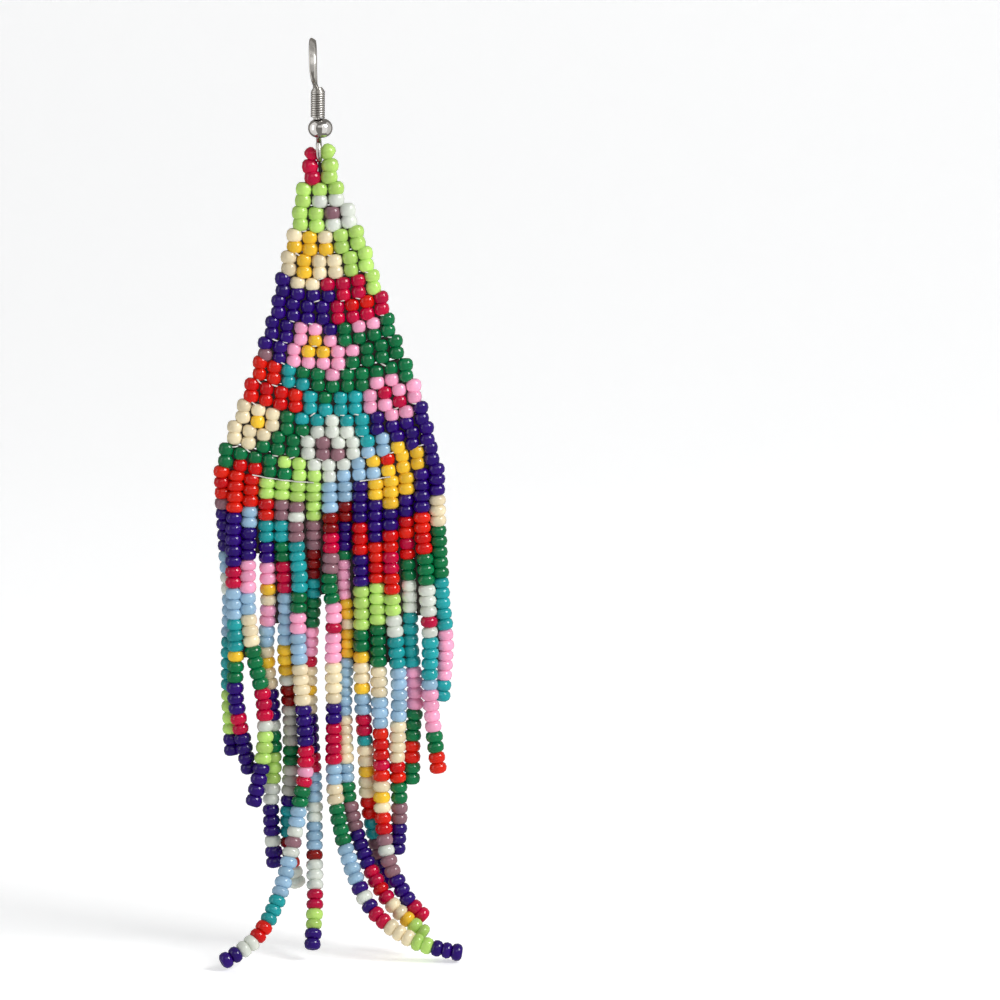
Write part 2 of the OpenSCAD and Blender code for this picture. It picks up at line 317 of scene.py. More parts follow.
def beads_tree(glass_finishes, thread_finish):
    """A bead on each point, turned along the point's axis attribute, and thread along the edges."""
    tree, make, given, result = geometry_tree("seed_beads", {
        "Bead Diameter": "Float", "Bead Length": "Float", "Hole": "Float", "End Width": "Float",
        "Squareness": "Float", "Sides": "Int", "Tilt": "Float", "Seed": "Int", "Thread": "Float",
    })
    wall = make.math("DIVIDE", make.math("SUBTRACT", given["Bead Diameter"], given["End Width"]), 2.0)
    lip = make.math("DIVIDE", make.math("SUBTRACT", given["End Width"], given["Hole"]), 2.0)
    half = make.math("DIVIDE", given["Bead Length"], 2.0)
    outline = bead_outline(make, wall, lip, half, given["Squareness"])
    ring = make.first("GeometryNodeCurvePrimitiveCircle", {
        "Resolution": given["Sides"], "Radius": make.math("DIVIDE", given["End Width"], 2.0),
    })
    bead = make.first("GeometryNodeCurveToMesh", {"Curve": ring, "Profile Curve": outline})

    axis, size, glass = (
        make.first("GeometryNodeInputNamedAttribute", {"Name": name}, data_type=kind)
        for name, kind in (("axis", "FLOAT_VECTOR"), ("size", "FLOAT_VECTOR"), ("glass", "INT"))
    )
    along = make.first("FunctionNodeAlignRotationToVector", {"Vector": axis}, axis="Z")
    tilt_back = make.math("MULTIPLY", given["Tilt"], -1.0)
    low = make.first("ShaderNodeCombineXYZ", {"X": tilt_back, "Y": tilt_back})
    high = make.first("ShaderNodeCombineXYZ", {"X": given["Tilt"], "Y": given["Tilt"], "Z": math.tau})
    turn = make.first("FunctionNodeRandomValue", {
        "Min": low, "Max": high, "Seed": given["Seed"],
    }, data_type="FLOAT_VECTOR")
    rotation = make.first("FunctionNodeRotateRotation", {
        "Rotation": along, "Rotate By": make.first("FunctionNodeEulerToRotation", {"Euler": turn}),
    }, rotation_space="LOCAL")
    instances = make.first("GeometryNodeInstanceOnPoints", {
        "Points": given["Geometry"], "Instance": bead, "Rotation": rotation, "Scale": size,
    })
    beads = make.first("GeometryNodeRealizeInstances", {"Geometry": instances})
    for index, material in enumerate(glass_finishes):
        chosen = make.first("FunctionNodeCompare", {
            "A": glass, "B": index,
        }, data_type="INT", operation="EQUAL")
        beads = make.first("GeometryNodeSetMaterial", {
            "Geometry": beads, "Selection": chosen, "Material": material,
        })
    thread = make.first("GeometryNodeCurveToMesh", {
        "Curve": make.first("GeometryNodeMeshToCurve", {"Mesh": given["Geometry"]}),
        "Profile Curve": make.first("GeometryNodeCurvePrimitiveCircle", {
            "Resolution": THREAD_SIDES, "Radius": make.math("DIVIDE", given["Thread"], 2.0),
        }),
        "Fill Caps": True,
    })
    thread = make.first("GeometryNodeSetMaterial", {"Geometry": thread, "Material": thread_finish})
    joined = make.add("GeometryNodeJoinGeometry")
    for part in (thread, beads):
        make.link(part, joined.inputs[0])
    make.link(make.first("GeometryNodeSetShadeSmooth", {"Geometry": joined.outputs[0]}), result[0])
    return tree


def wire_tree():
    """A round wire along the edges of a path."""
    sockets = {"Diameter": "Float", "Sides": "Int", "Material": "Material"}
    tree, make, given, result = geometry_tree("round_wire", sockets)
    section = make.first("GeometryNodeCurvePrimitiveCircle", {
        "Resolution": given["Sides"], "Radius": make.math("DIVIDE", given["Diameter"], 2.0),
    })
    wire = make.first("GeometryNodeCurveToMesh", {
        "Curve": make.first("GeometryNodeMeshToCurve", {"Mesh": given["Geometry"]}),
        "Profile Curve": section, "Fill Caps": True,
    })
    realized = make.first("GeometryNodeRealizeInstances", {"Geometry": wire})
    smooth = make.first("GeometryNodeSetShadeSmooth", {"Geometry": realized})
    dressed = make.first("GeometryNodeSetMaterial", {"Geometry": smooth, "Material": given["Material"]})
    make.link(dressed, result[0])
    return tree


# Materials

def shader(name):
    """A new material, its node maker and its Principled shader."""
    material = bpy.data.materials.new(name)
    material.use_nodes = True
    make = NodeMaker(material.node_tree)
    return material, make, material.node_tree.nodes["Principled BSDF"]


def noise(make, scale, detail=2.0):
    """Noise in the piece's own space, with its scale in waves to the millimetre."""
    place = make.add("ShaderNodeTexCoord").outputs["Object"]
    settings = {"Vector": place, "Scale": scale / MM, "Detail": detail}
    return make.add("ShaderNodeTexNoise", settings).outputs["Fac"]


def remap(make, value, low, high, start=0.0, end=1.0):
    """A value that runs from start to end, stretched to run from low to high."""
    return make.first("ShaderNodeMapRange", {
        "Value": value, "From Min": start, "From Max": end, "To Min": low, "To Max": high,
    })


def toned(make, surface, colour, value, **more):
    """Colours the surface, lighter or darker by a value that varies over it."""
    tone = make.first("ShaderNodeHueSaturation", {"Value": value, "Color": (*colour, 1.0), **more})
    make.link(tone, surface.inputs["Base Color"])


def bumped(make, surface, strength, depth, height):
    """Gives the surface fine relief, with its depth in millimetres."""
    bump = make.first("ShaderNodeBump", {"Strength": strength, "Distance": depth * MM, "Height": height})
    make.link(bump, surface.inputs["Normal"])


def glass_material(name, colour):
    """Opaque glass under a smooth hard gloss: softly uneven, and each bead a little lighter or darker."""
    material, make, glass = shader(name)
    tone = make.add("ShaderNodeAttribute", attribute_name="tone").outputs["Fac"]
    clouds = remap(make, noise(make, 0.5), -0.1, 0.1, 0.3, 0.7)
    value = make.math("ADD", remap(make, tone, 0.86, 1.12, -1.0, 1.0), clouds)
    hue = make.math("ADD", 0.5, make.math("MULTIPLY", tone, 0.002))
    toned(make, glass, colour, value, Hue=hue)
    make.link(remap(make, noise(make, 1.4), 0.09, 0.16, 0.3, 0.7), glass.inputs["Roughness"])
    bumped(make, glass, 0.07, 0.06, noise(make, 0.9))
    glass.inputs["IOR"].default_value = 1.52
    return material


def metal_material(name, colour, low, high):
    """Bright plated wire, with fine draw marks and a faint uneven tarnish."""
    material, make, metal = shader(name)
    metal.inputs["Metallic"].default_value = 1.0
    toned(make, metal, colour, remap(make, noise(make, 0.35, 4.0), 0.82, 1.04, 0.35, 0.65))
    make.link(remap(make, noise(make, 2.2, 3.0), low, high, 0.3, 0.7), metal.inputs["Roughness"])
    bumped(make, metal, 0.1, 0.02, noise(make, 5.0, 3.0))
    return material


def thread_material(name, colour):
    """Thread, with the light and dark bands of its twist."""
    material, make, thread = shader(name)
    place = make.add("ShaderNodeTexCoord").outputs["Object"]
    twist = make.add("ShaderNodeTexWave", {
        "Vector": place, "Scale": 2.4 / MM, "Distortion": 1.5, "Detail": 1.0,
    }, bands_direction="DIAGONAL").outputs["Fac"]
    toned(make, thread, colour, remap(make, twist, 0.75, 1.0))
    bumped(make, thread, 0.5, 0.03, twist)
    thread.inputs["Roughness"].default_value = 0.5
    thread.inputs["Sheen Weight"].default_value = 0.2
    return material


def once(name, maker, *values):
    """The material of that name, made the first time it is asked for."""
    return bpy.data.materials.get(name) or maker(name, *values)


def silver():
    return once("plated wire", metal_material, (0.5, 0.485, 0.46), 0.14, 0.28)


def polished():
    return once("bright ball", metal_material, (0.62, 0.605, 0.585), 0.05, 0.13)


def nylon():
    return once("white thread", thread_material, (0.82, 0.79, 0.74))


# Near-black thread: painted shade, for the gaps between the beads and between the strings.
def painted_shade_thread():
    return once("shaded thread", thread_material, (0.035, 0.022, 0.018))


def glasses(colours):
    """The glass materials, in the order of the charts' letters."""
    return [once("bead " + name, glass_material, tuple(getattr(colours, name))) for name in GLASS]


def shared_tree(name, maker, *values):
    return bpy.data.node_groups.get(name) or maker(*values)


# Meshes

WIRE_SIDES = 20


def new_object(name, points, edges=(), faces=()):
    mesh = bpy.data.meshes.new(name)
    mesh.from_pydata([tuple(p) for p in points], list(edges), list(faces))
    obj = bpy.data.objects.new(name, mesh)
    bpy.context.scene.collection.objects.link(obj)
    return obj


def skin(name, points, faces, material):
    """A smooth mesh in one material."""
    obj = new_object(name, points, faces=faces)
    obj.data.materials.append(material)
    obj.data.shade_smooth()
    return obj


def path_edges(counts):
    """Edges that join the points of each path in turn, where counts holds how many each path has."""
    edges = []
    start = 0
    for count in counts:
        edges += [(i, i + 1) for i in range(start, start + count - 1)]
        start += count
    return edges


def wire_object(name, paths, diameter, material, sides=THREAD_SIDES):
    """One piece of round wire or thread along several paths."""
    points = [p for path in paths for p in path]
    obj = new_object(name, points, path_edges([len(path) for path in paths]))
    tree = shared_tree("round_wire", wire_tree)
    return run_tree(obj, tree, {"Diameter": diameter, "Sides": sides, "Material": material})


def loft(name, rings, material):
    """A closed skin over rings of points, smooth along its length and capped at both ends."""
    sides = len(rings[0])
    points = [p for ring in rings for p in ring]
    faces = [tuple(range(sides)), tuple(range(len(points) - 1, len(points) - sides - 1, -1))]
    for i in range(len(rings) - 1):
        for j in range(sides):
            k = (j + 1) % sides
            faces.append((i * sides + j, (i + 1) * sides + j, (i + 1) * sides + k, i * sides + k))
    return skin(name, points, faces, material)


def oval_ring(centre, along, half_wide, half_thick, exponent, roll):
    """A ring of points round a wire: an oval that lies flat along X, before its roll about the wire."""
    turn = Matrix.Rotation(roll, 3, along)
    thick = turn @ along.cross(Vector((1, 0, 0))).normalized()
    wide = thick.cross(along)
    ring = []
    for a in (math.tau * (j + 0.5) / WIRE_SIDES for j in range(WIRE_SIDES)):
        c, s = math.cos(a), math.sin(a)
        across = math.copysign(abs(c) ** (2 / exponent), c) * half_wide
        over = math.copysign(abs(s) ** (2 / exponent), s) * half_thick
        ring.append(centre + wide * across + thick * over)
    return ring


def revolved(name, outline, steps, place, material):
    """A closed outline of (radius, height) points turned round the Z axis, then put in place."""
    count = len(outline)
    points = []
    for i in range(steps):
        a = math.tau * i / steps
        points += [place @ Vector((r * math.cos(a), r * math.sin(a), z)) for r, z in outline]
    faces = []
    for i in range(steps):
        n = (i + 1) % steps
        for j in range(count):
            k = (j + 1) % count
            faces.append((i * count + j, n * count + j, n * count + k, i * count + k))
    return skin(name, points, faces, material)


def bezier(a, b, c, d, t):
    """A place on the curve that leaves a towards b, and comes from c to d."""
    return (1 - t) ** 3 * a + 3 * t * (1 - t) ** 2 * b + 3 * t * t * (1 - t) * c + t ** 3 * d


def spline(points, steps):
    """A smooth line through the points, with that many steps from each to the next."""
    line = []
    for i in range(len(points) - 1):
        a, b = points[max(i - 1, 0)], points[i]
        c, d = points[i + 1], points[min(i + 2, len(points) - 1)]
        for j in range(steps):
            t = j / steps
            line.append(0.5 * (
                2 * b + (c - a) * t + (2 * a - 5 * b + 4 * c - d) * t * t + (3 * b - a - 3 * c + d) * t ** 3
            ))
    return line + [points[-1]]


# The hook

def round_section(diameter):
    """Half width, half thickness, squareness and roll of round wire, as a station holds them."""
    return diameter / 2, diameter / 2, 2.0, 0.0


class Hook:
    """The hook's lines: the stem that leans from the loop, and what is threaded on it."""

    CLEARANCE = 0.06 * MM
    THREAD_ROOM = 0.3 * MM
    COIL_GAP = 0.3 * MM
    BALL_ASIDE = 0.3 * MM
    COIL_SLANT = math.radians(2.5)

    def __init__(self, sizes):
        self.sizes = sizes
        wire = sizes.wire_diameter
        self.lean = sizes.stem_lean
        self.loop = PIVOT + Vector((0, 0, sizes.loop_radius - self.THREAD_ROOM / 2 - self.CLEARANCE))
        self.up = Vector((0, -math.sin(self.lean), math.cos(self.lean)))
        self.front = Vector((0, -math.cos(self.lean), -math.sin(self.lean)))
        self.ring_radius = sizes.loop_radius + wire / 2
        self.ball_at = sizes.loop_radius + wire + self.CLEARANCE + sizes.ball_height / 2
        self.coil_at = self.ball_at + sizes.ball_height / 2 + self.CLEARANCE
        self.coil_length = sizes.coil_turns * (sizes.coil_wire - 0.01 * MM)
        self.stem_end = self.coil_at + self.coil_length + self.COIL_GAP
        self.arch_z = sizes.flat_thickness / 2 - sizes.arch_radius - sizes.arch_drop

    def on_stem(self, distance):
        return self.loop + self.up * distance

    def in_place(self, distance, aside=0.0, slant=0.0):
        """The matrix that stands a shape made round Z on the stem at that distance."""
        move = Matrix.Translation(self.on_stem(distance) + Vector((aside, 0, 0)))
        return move @ Matrix.Rotation(self.lean, 4, "X") @ Matrix.Rotation(slant, 4, "Y")

    def loop_stations(self):
        """The wire's lower end: once round the loop and up into the ball."""
        start, end = math.radians(38), math.radians(318)
        ring_steps, rise_steps = 40, 8
        places = []
        for i in range(ring_steps + 1):
            a = start + (end - start) * i / ring_steps
            places.append(self.loop + (self.front * math.sin(a) + self.up * math.cos(a)) * self.ring_radius)
        last, goal = places[-1], self.on_stem(self.ball_at)
        leave = last + (self.front * math.cos(end) - self.up * math.sin(end)) * 0.7 * MM
        enter = goal - self.up * 1.1 * MM
        places += [bezier(last, leave, enter, goal, i / rise_steps) for i in range(1, rise_steps + 1)]
        return [(place, *round_section(self.sizes.wire_diameter)) for place in places]

    def upper_stations(self):
        """From the ball up the stem, through the bend and over the arch to the end of the tail."""
        s = self.sizes
        stem = np.linspace(self.ball_at + 0.2 * MM, self.stem_end - 0.8 * MM, 8)
        stations = [(self.on_stem(d), *round_section(s.wire_diameter)) for d in stem]

        def flattened(flat):
            """Half width, half thickness and squareness, from round wire at 0 to flattened wire at 1."""
            wide = s.bend_diameter + (s.flat_width - s.bend_diameter) * flat
            thick = s.bend_diameter + (s.flat_thickness - s.bend_diameter) * flat
            return wide / 2, thick / 2, 2 + 1.2 * flat

        bend_steps, arch_steps, tail_steps, tip_steps = 24, 40, 24, 6
        start = self.on_stem(self.stem_end - self.COIL_GAP)
        front = Vector((-s.side_bow, -s.arch_radius, self.arch_z))
        leave, enter = start + self.up * 1.1 * MM, front - Vector((0, 0, 2.5 * MM))
        for i in range(bend_steps):
            t = i / bend_steps
            stations.append((bezier(start, leave, enter, front, t), *flattened(t ** 4), 0.0))
        for i in range(arch_steps + 1):
            t = i / arch_steps
            across, above = math.cos(math.pi * t), math.sin(math.pi * t)
            place = front + Vector((0, 1 - across, above)) * s.arch_radius
            stations.append((place, *flattened(1 - t ** 3), s.arch_roll * above ** 2))
        back = stations[-1][0]
        end = Vector((-0.5 * MM, s.arch_radius + s.tail_reach, -s.tail_depth))
        leave, enter = back - Vector((0, 0, 3.6 * MM)), end + Vector((0, -1.4, 2.8)) * MM
        for i in range(1, tail_steps + 1):
            place = bezier(back, leave, enter, end, i / tail_steps)
            stations.append((place, *round_section(s.bend_diameter)))
        tip = Vector((0, 0.45, -0.89)) * 0.45 * s.bend_diameter
        rounding = math.radians(85.714)
        for i in range(1, tip_steps + 1):
            a = rounding * i / tip_steps
            stations.append((end + tip * math.sin(a), *round_section(s.bend_diameter * math.cos(a))))
        return stations


def hook_wire(sizes):
    """The whole wire as one skin."""
    hook = Hook(sizes)
    stations = hook.loop_stations() + hook.upper_stations()
    rings = []
    for i, (place, wide, thick, exponent, roll) in enumerate(stations):
        before, after = stations[max(i - 1, 0)][0], stations[min(i + 1, len(stations) - 1)][0]
        rings.append(oval_ring(place, (after - before).normalized(), wide, thick, exponent, roll))
    return loft("hook_wire", rings, silver())


def coil_wire(sizes):
    """The wound coil, whose last turns close in on the stem as a cone."""
    hook = Hook(sizes)
    closing_turns, closing_pitch = 3.0, 0.6
    per_turn = 22
    place = hook.in_place(hook.coil_at, slant=hook.COIL_SLANT)
    pitch = hook.coil_length / sizes.coil_turns
    full = (sizes.coil_diameter - sizes.coil_wire) / 2
    near = (sizes.bend_diameter + sizes.coil_wire) / 2
    straight = sizes.coil_turns - 1
    path = []
    for i in range(round((straight + closing_turns) * per_turn)):
        turn = i / per_turn
        past = max(0.0, turn - straight)
        radius = full + (near - full) * past / closing_turns
        height = (0.5 + min(turn, straight) + past * closing_pitch) * pitch
        a = math.tau * turn
        path.append(place @ Vector((radius * math.cos(a), radius * math.sin(a), height)))
    return wire_object("coil_wire", [path], sizes.coil_wire, silver(), sides=8)


def polished_ball(sizes):
    """The ball, a little flattened, with a soft edge round its hole."""
    hook = Hook(sizes)
    half = sizes.ball_height / 2
    hole = sizes.wire_diameter / 2 + 0.07 * MM
    wall_steps, round_steps, wall_share = 22, 56, 0.93
    wall = []
    for i in range(wall_steps + 1):
        a = math.pi * (i / wall_steps - 0.5) * wall_share
        wall.append((sizes.ball_diameter / 2 - half + half * math.cos(a), half * math.sin(a)))
    rim = [(hole + 0.05 * MM, half - 0.02 * MM), (hole, half - 0.1 * MM)]
    outline = wall + rim + [(r, -z) for r, z in rim[::-1]]
    place = hook.in_place(hook.ball_at, hook.BALL_ASIDE)
    return revolved("ball_shell", outline, round_steps, place, polished())


# The fan

FIRST_ROW = 2
LAST_ROW = 15
# Each row lies on an arc: the radius of the seventh row's, its growth from row to row, and the least.
SEVENTH_RADIUS = 21 * MM
RADIUS_STEP = 3.1 * MM
LEAST_RADIUS = 17 * MM
# How each row hangs: millimetres to the right of the hanging line, millimetres lower than its even place,
# degrees that it slants down to the right, and its width as a share of the even width.
ROW_HANG = (
    (0.1, 0, -1, 1), (-0.1, 0, 0.5, 1), (0.45, 0.12, -1.5, 1), (0.5, 0.17, -1.8, 0.985),
    (0.6, 0.26, -1.1, 0.99), (0.6, 0.26, -0.2, 0.98), (0.78, 0.17, 0, 0.97), (0.65, 0.07, 0.3, 0.965),
    (0.62, 0, 1, 0.97), (0.78, -0.04, 2.6, 0.976), (0.7, -0.02, 2.1, 0.99), (0.5, -0.06, 2.2, 0.995),
    (0.16, -0.2, 2.1, 0.993), (-0.17, -0.31, 1.1, 1),
)
# Share of a row's spread that the two beads of a column take up between them.
STACK_SPREAD = 0.2
# How far the two uppermost beads stand out of their columns, the thickness of the dark thread that paints
# shade in the seams, the share of the stitches that shows, and the thickness of the thread through the wire
# loop.
FIRST_PAIR_SPREAD = 0.26 * MM
SHADE_STITCH_WIDTH = 0.6 * MM
SHOWING_STITCHES = 0.34
LOOP_THREAD = 0.28 * MM
# The beads beside the loop: side, millimetres aside and above the pivot, degrees of lean, size and glass.
TOP_BEADS = ((-1, 1.08, 0.3, 52, 0.92, "k"), (1, 1.17, 0.55, 56, 1.04, "l"))


def row_radius(row):
    return max(LEAST_RADIUS, SEVENTH_RADIUS + RADIUS_STEP * (row - 7))


def on_row(sizes, row, across, down, spread=1.0):
    """A place in a row of the fan, and the direction of a bead's hole there."""
    a = across / row_radius(row)
    outwards = Vector((math.sin(spread * a), 0, -math.cos(spread * a)))
    place = Vector((math.sin(a), 0, 1 - math.cos(a))) * row_radius(row) + outwards * down
    drift, drop, lean, _ = ROW_HANG[row - FIRST_ROW]
    slant = Matrix.Rotation(math.radians(lean), 3, "Y")
    depth = sizes.first_row_depth + sizes.row_pitch * (row - 3) + drop * MM
    return Vector((drift * MM, 0, PIVOT.z - depth)) + slant @ place, slant @ -outwards


def column_pitch(sizes, row):
    if row == LAST_ROW:
        return sizes.ladder_pitch
    width = ROW_HANG[row - FIRST_ROW][3]
    return (sizes.column_pitch + sizes.upper_spread * max(0, 9 - row)) * width


def column_across(sizes, row, column):
    """How far a column stands to the right of its row's middle."""
    return (column - (row + 1) / 2) * column_pitch(sizes, row)


def in_column(sizes, row, column, down, spread=1.0):
    """A place in a row, by a column or a place between two, and the direction of a bead's hole there."""
    return on_row(sizes, row, column_across(sizes, row, column), down, spread)


# Grounds of the fan: glass, first and last line of beads from the top, first and last column.
GROUNDS = (
    ("l", 0, 11, 1, 7), ("k", 0, 1, 1, 1),
    ("g", 14, 27, 1, 15),
    ("i", 10, 10, 1, 1), ("i", 11, 13, 1, 4), ("i", 14, 14, 1, 5), ("i", 15, 17, 1, 2), ("m", 17, 17, 1, 1),
    ("t", 18, 18, 3, 3), ("t", 19, 19, 3, 4), ("t", 20, 21, 5, 8), ("g", 20, 20, 6, 6),
    ("t", 22, 22, 5, 9), ("t", 23, 23, 9, 9), ("t", 24, 24, 10, 10),
    ("i", 22, 23, 10, 13), ("i", 24, 24, 12, 14), ("i", 25, 25, 13, 14), ("i", 26, 27, 15, 15),
    ("s", 24, 24, 11, 11), ("s", 25, 25, 10, 11), ("s", 26, 26, 10, 10), ("s", 27, 27, 9, 11),
)

# Flowers and leaves, as charted: for each line of beads, the first column and its glass.
MOTIFS = {
    "small white flower": {3: (2, "ww"), 4: (3, "mw"), 5: (3, "ww")},
    "yellow and cream flower": {
        6: (1, "cyc"), 7: (1, "yyy"), 8: (1, "cycc"), 9: (1, "cycc"), 10: (2, "cc"),
    },
    "crimson flower": {10: (4, "kkk"), 11: (5, "kk"), 12: (5, "krrk"), 13: (5, "kkkk")},
    "pink flower on indigo": {
        14: (3, "pp"), 15: (3, "pyp"), 16: (3, "pyypp"), 17: (3, "pppp"), 18: (6, "p"),
    },
    "pink bud": {14: (7, "pp")},
    "red leaves": {18: (1, "rr"), 19: (1, "rr"), 20: (1, "rrrr"), 21: (1, "rrrr")},
    "pink flower at the edge": {19: (9, "pp"), 20: (9, "pkpp"), 21: (9, "ppkp"), 22: (11, "pp")},
    "cream flower": {22: (1, "ccc"), 23: (1, "cyc"), 24: (1, "ccc"), 25: (1, "cc")},
    "large white flower": {
        22: (7, "w"), 23: (6, "www"), 24: (6, "wmww"), 25: (6, "wmmw"), 26: (7, "www"), 27: (8, "w"),
    },
    "yellow flower": {25: (12, "y"), 26: (11, "yryy"), 27: (12, "yyy")},
    "lime leaves": {26: (5, "ll"), 27: (6, "ll")},
    "red tips": {27: (2, "rr")},
}


def glass_at(line, column):
    """The letter of the glass at a place in the fan: a motif's, or else that of the last ground there."""
    for lines in MOTIFS.values():
        first, letters = lines.get(line, (0, ""))
        if first <= column < first + len(letters):
            return letters[column - first]
    covering = [g[0] for g in GROUNDS if g[1] <= line <= g[2] and g[3] <= column <= g[4]]
    return covering[-1]


class BeadList:
    """Beads to be made: where each one is, its hole's direction, its size, glass and tone."""

    def __init__(self, sizes, seed):
        self.sizes = sizes
        self.random = random.Random(sizes.seed * 100 + seed)
        self.rows = []

    def add(self, place, axis, letter, girth=1.0, span=1.0):
        spread = self.sizes.size_spread
        wide = girth * (1 + self.random.uniform(-spread, spread))
        tall = span * (1 + self.random.uniform(-spread, spread))
        self.rows.append((place, axis, (wide, wide, tall), LETTERS[letter], self.random.uniform(-1, 1)))

    def make(self, name, colours, edges=()):
        """Turns the list into one plain mesh, with thread along the edges between its points."""
        obj = new_object(name, [row[0] for row in self.rows], edges)
        mesh = obj.data
        for index, key, kind, field in (
            (1, "axis", "FLOAT_VECTOR", "vector"), (2, "size", "FLOAT_VECTOR", "vector"),
            (3, "glass", "INT", "value"), (4, "tone", "FLOAT", "value"),
        ):
            stored = np.int32 if kind == "INT" else np.float32
            values = np.array([row[index] for row in self.rows], dtype=stored)
            mesh.attributes.new(key, kind, "POINT").data.foreach_set(field, values.ravel())
        sizes = self.sizes
        tree = shared_tree("seed_beads", beads_tree, glasses(colours), nylon())
        return run_tree(obj, tree, {
            "Bead Diameter": sizes.diameter, "Bead Length": sizes.bead_length, "Hole": sizes.hole,
            "End Width": sizes.end_width, "Squareness": sizes.squareness, "Sides": BEAD_SIDES,
            "Tilt": sizes.tilt_spread, "Seed": sizes.seed, "Thread": sizes.thread,
        })


def fan_beads(sizes, colours):
    """The beads of the fan, two to a column in each row."""
    beads = BeadList(sizes, 1)
    for row in range(FIRST_ROW, LAST_ROW + 1):
        for line, down in enumerate((-sizes.row_pitch / 4, sizes.row_pitch / 4)):
            for column in range(1, row + 1):
                place, axis = in_column(sizes, row, column, down, STACK_SPREAD)
                off = [beads.random.uniform(-sizes.slack, sizes.slack) for _ in range(3)]
                if row == FIRST_ROW and line == 0:
                    off[0] += math.copysign(FIRST_PAIR_SPREAD, column - 1.5)
                letter = glass_at(2 * (row - FIRST_ROW) + line, column)
                growth = column_pitch(sizes, row) / sizes.column_pitch
                beads.add(place + Vector(off), axis, letter, growth, growth)
    return beads.make("fan_beads", colours)


def fan_stitches(sizes):
    """Dark thread in the seams between the beads, along the rows and down the columns: painted shade that
    darkens the gaps.
    """
    half = sizes.row_pitch / 2
    paths = []
    for row in range(FIRST_ROW, LAST_ROW + 1):
        def stitch(column, down):
            return in_column(sizes, row, column, down, STACK_SPREAD)[0]

        for down, inset in ((-half, 0.4), (0.0, 0.5), (half, 0.1)):
            if (row > FIRST_ROW or down > -half) and (row == LAST_ROW or down < half):
                columns = np.linspace(1 + inset, row - inset, 3 * row)
                paths.append([stitch(column, down) for column in columns])
        for column in range(1, row):
            paths.append([stitch(column + 0.5, down * half) for down in (-0.8, 0.0, 0.8)])
    return wire_object("fan_stitches", paths, SHADE_STITCH_WIDTH, painted_shade_thread(), sides=8)


def fan_thread(sizes):
    """Short stretches of thread that stand out where rows meet, and the thread along the lowest row."""
    chance = random.Random(sizes.seed * 100 + 3)
    paths = []
    for row in range(FIRST_ROW + 1, LAST_ROW + 1):
        top = -sizes.row_pitch / 2
        for column in range(1, row):
            if chance.random() > SHOWING_STITCHES:
                continue
            across = column_across(sizes, row, column + 0.5 + chance.uniform(-0.2, 0.2))
            run = chance.uniform(0.22, 0.36) * MM
            rise = chance.uniform(-0.2, 0.2) * MM
            points = []
            for step, out in ((-1.5, 0.3), (-1, 0.66), (0, 0.8), (1, 0.66), (1.5, 0.3)):
                place = on_row(sizes, row, across + step * run, top + step * rise, STACK_SPREAD)[0]
                points.append(place - Vector((0, out * MM, 0)))
            paths.append(spline(points, 3))
    under = sizes.row_pitch / 2 + 0.03 * MM
    for first, last in ((3, 7), (10, 12)):
        points = []
        for step in range((last - first) * 2 + 1):
            out = 0.62 if step % 2 else 0.95
            place = in_column(sizes, LAST_ROW, first + step / 2, under)[0]
            points.append(place - Vector((0, out * MM, 0)))
        paths.append(spline(points, 5))
    return wire_object("fan_thread", paths, sizes.thread, nylon())


def top_beads(sizes, colours):
    """The two beads beside the wire loop, and the thread from them through the loop."""
    beads = BeadList(sizes, 2)
    paths = []
    for side, reach, rise, tilt, size, letter in TOP_BEADS:
        place = PIVOT + Vector((side * reach, 0, rise)) * MM
        tilt = math.radians(tilt)
        axis = Vector((-side * math.sin(tilt), 0, math.cos(tilt)))
        beads.add(place, axis, letter, girth=size, span=size)
        below = in_column(sizes, FIRST_ROW, 1 if side < 0 else 2, -sizes.row_pitch / 4)[0]
        over = place + axis * 0.86 * MM
        inside = PIVOT + Vector((side * 0.3, -0.04, 0.5)) * MM
        paths.append(spline([below, place, over, inside, PIVOT], 6))
    obj = beads.make("top_beads", colours)
    thread = wire_object("top_thread", paths, LOOP_THREAD, nylon(), sides=8)
    return obj, thread


# The fringe

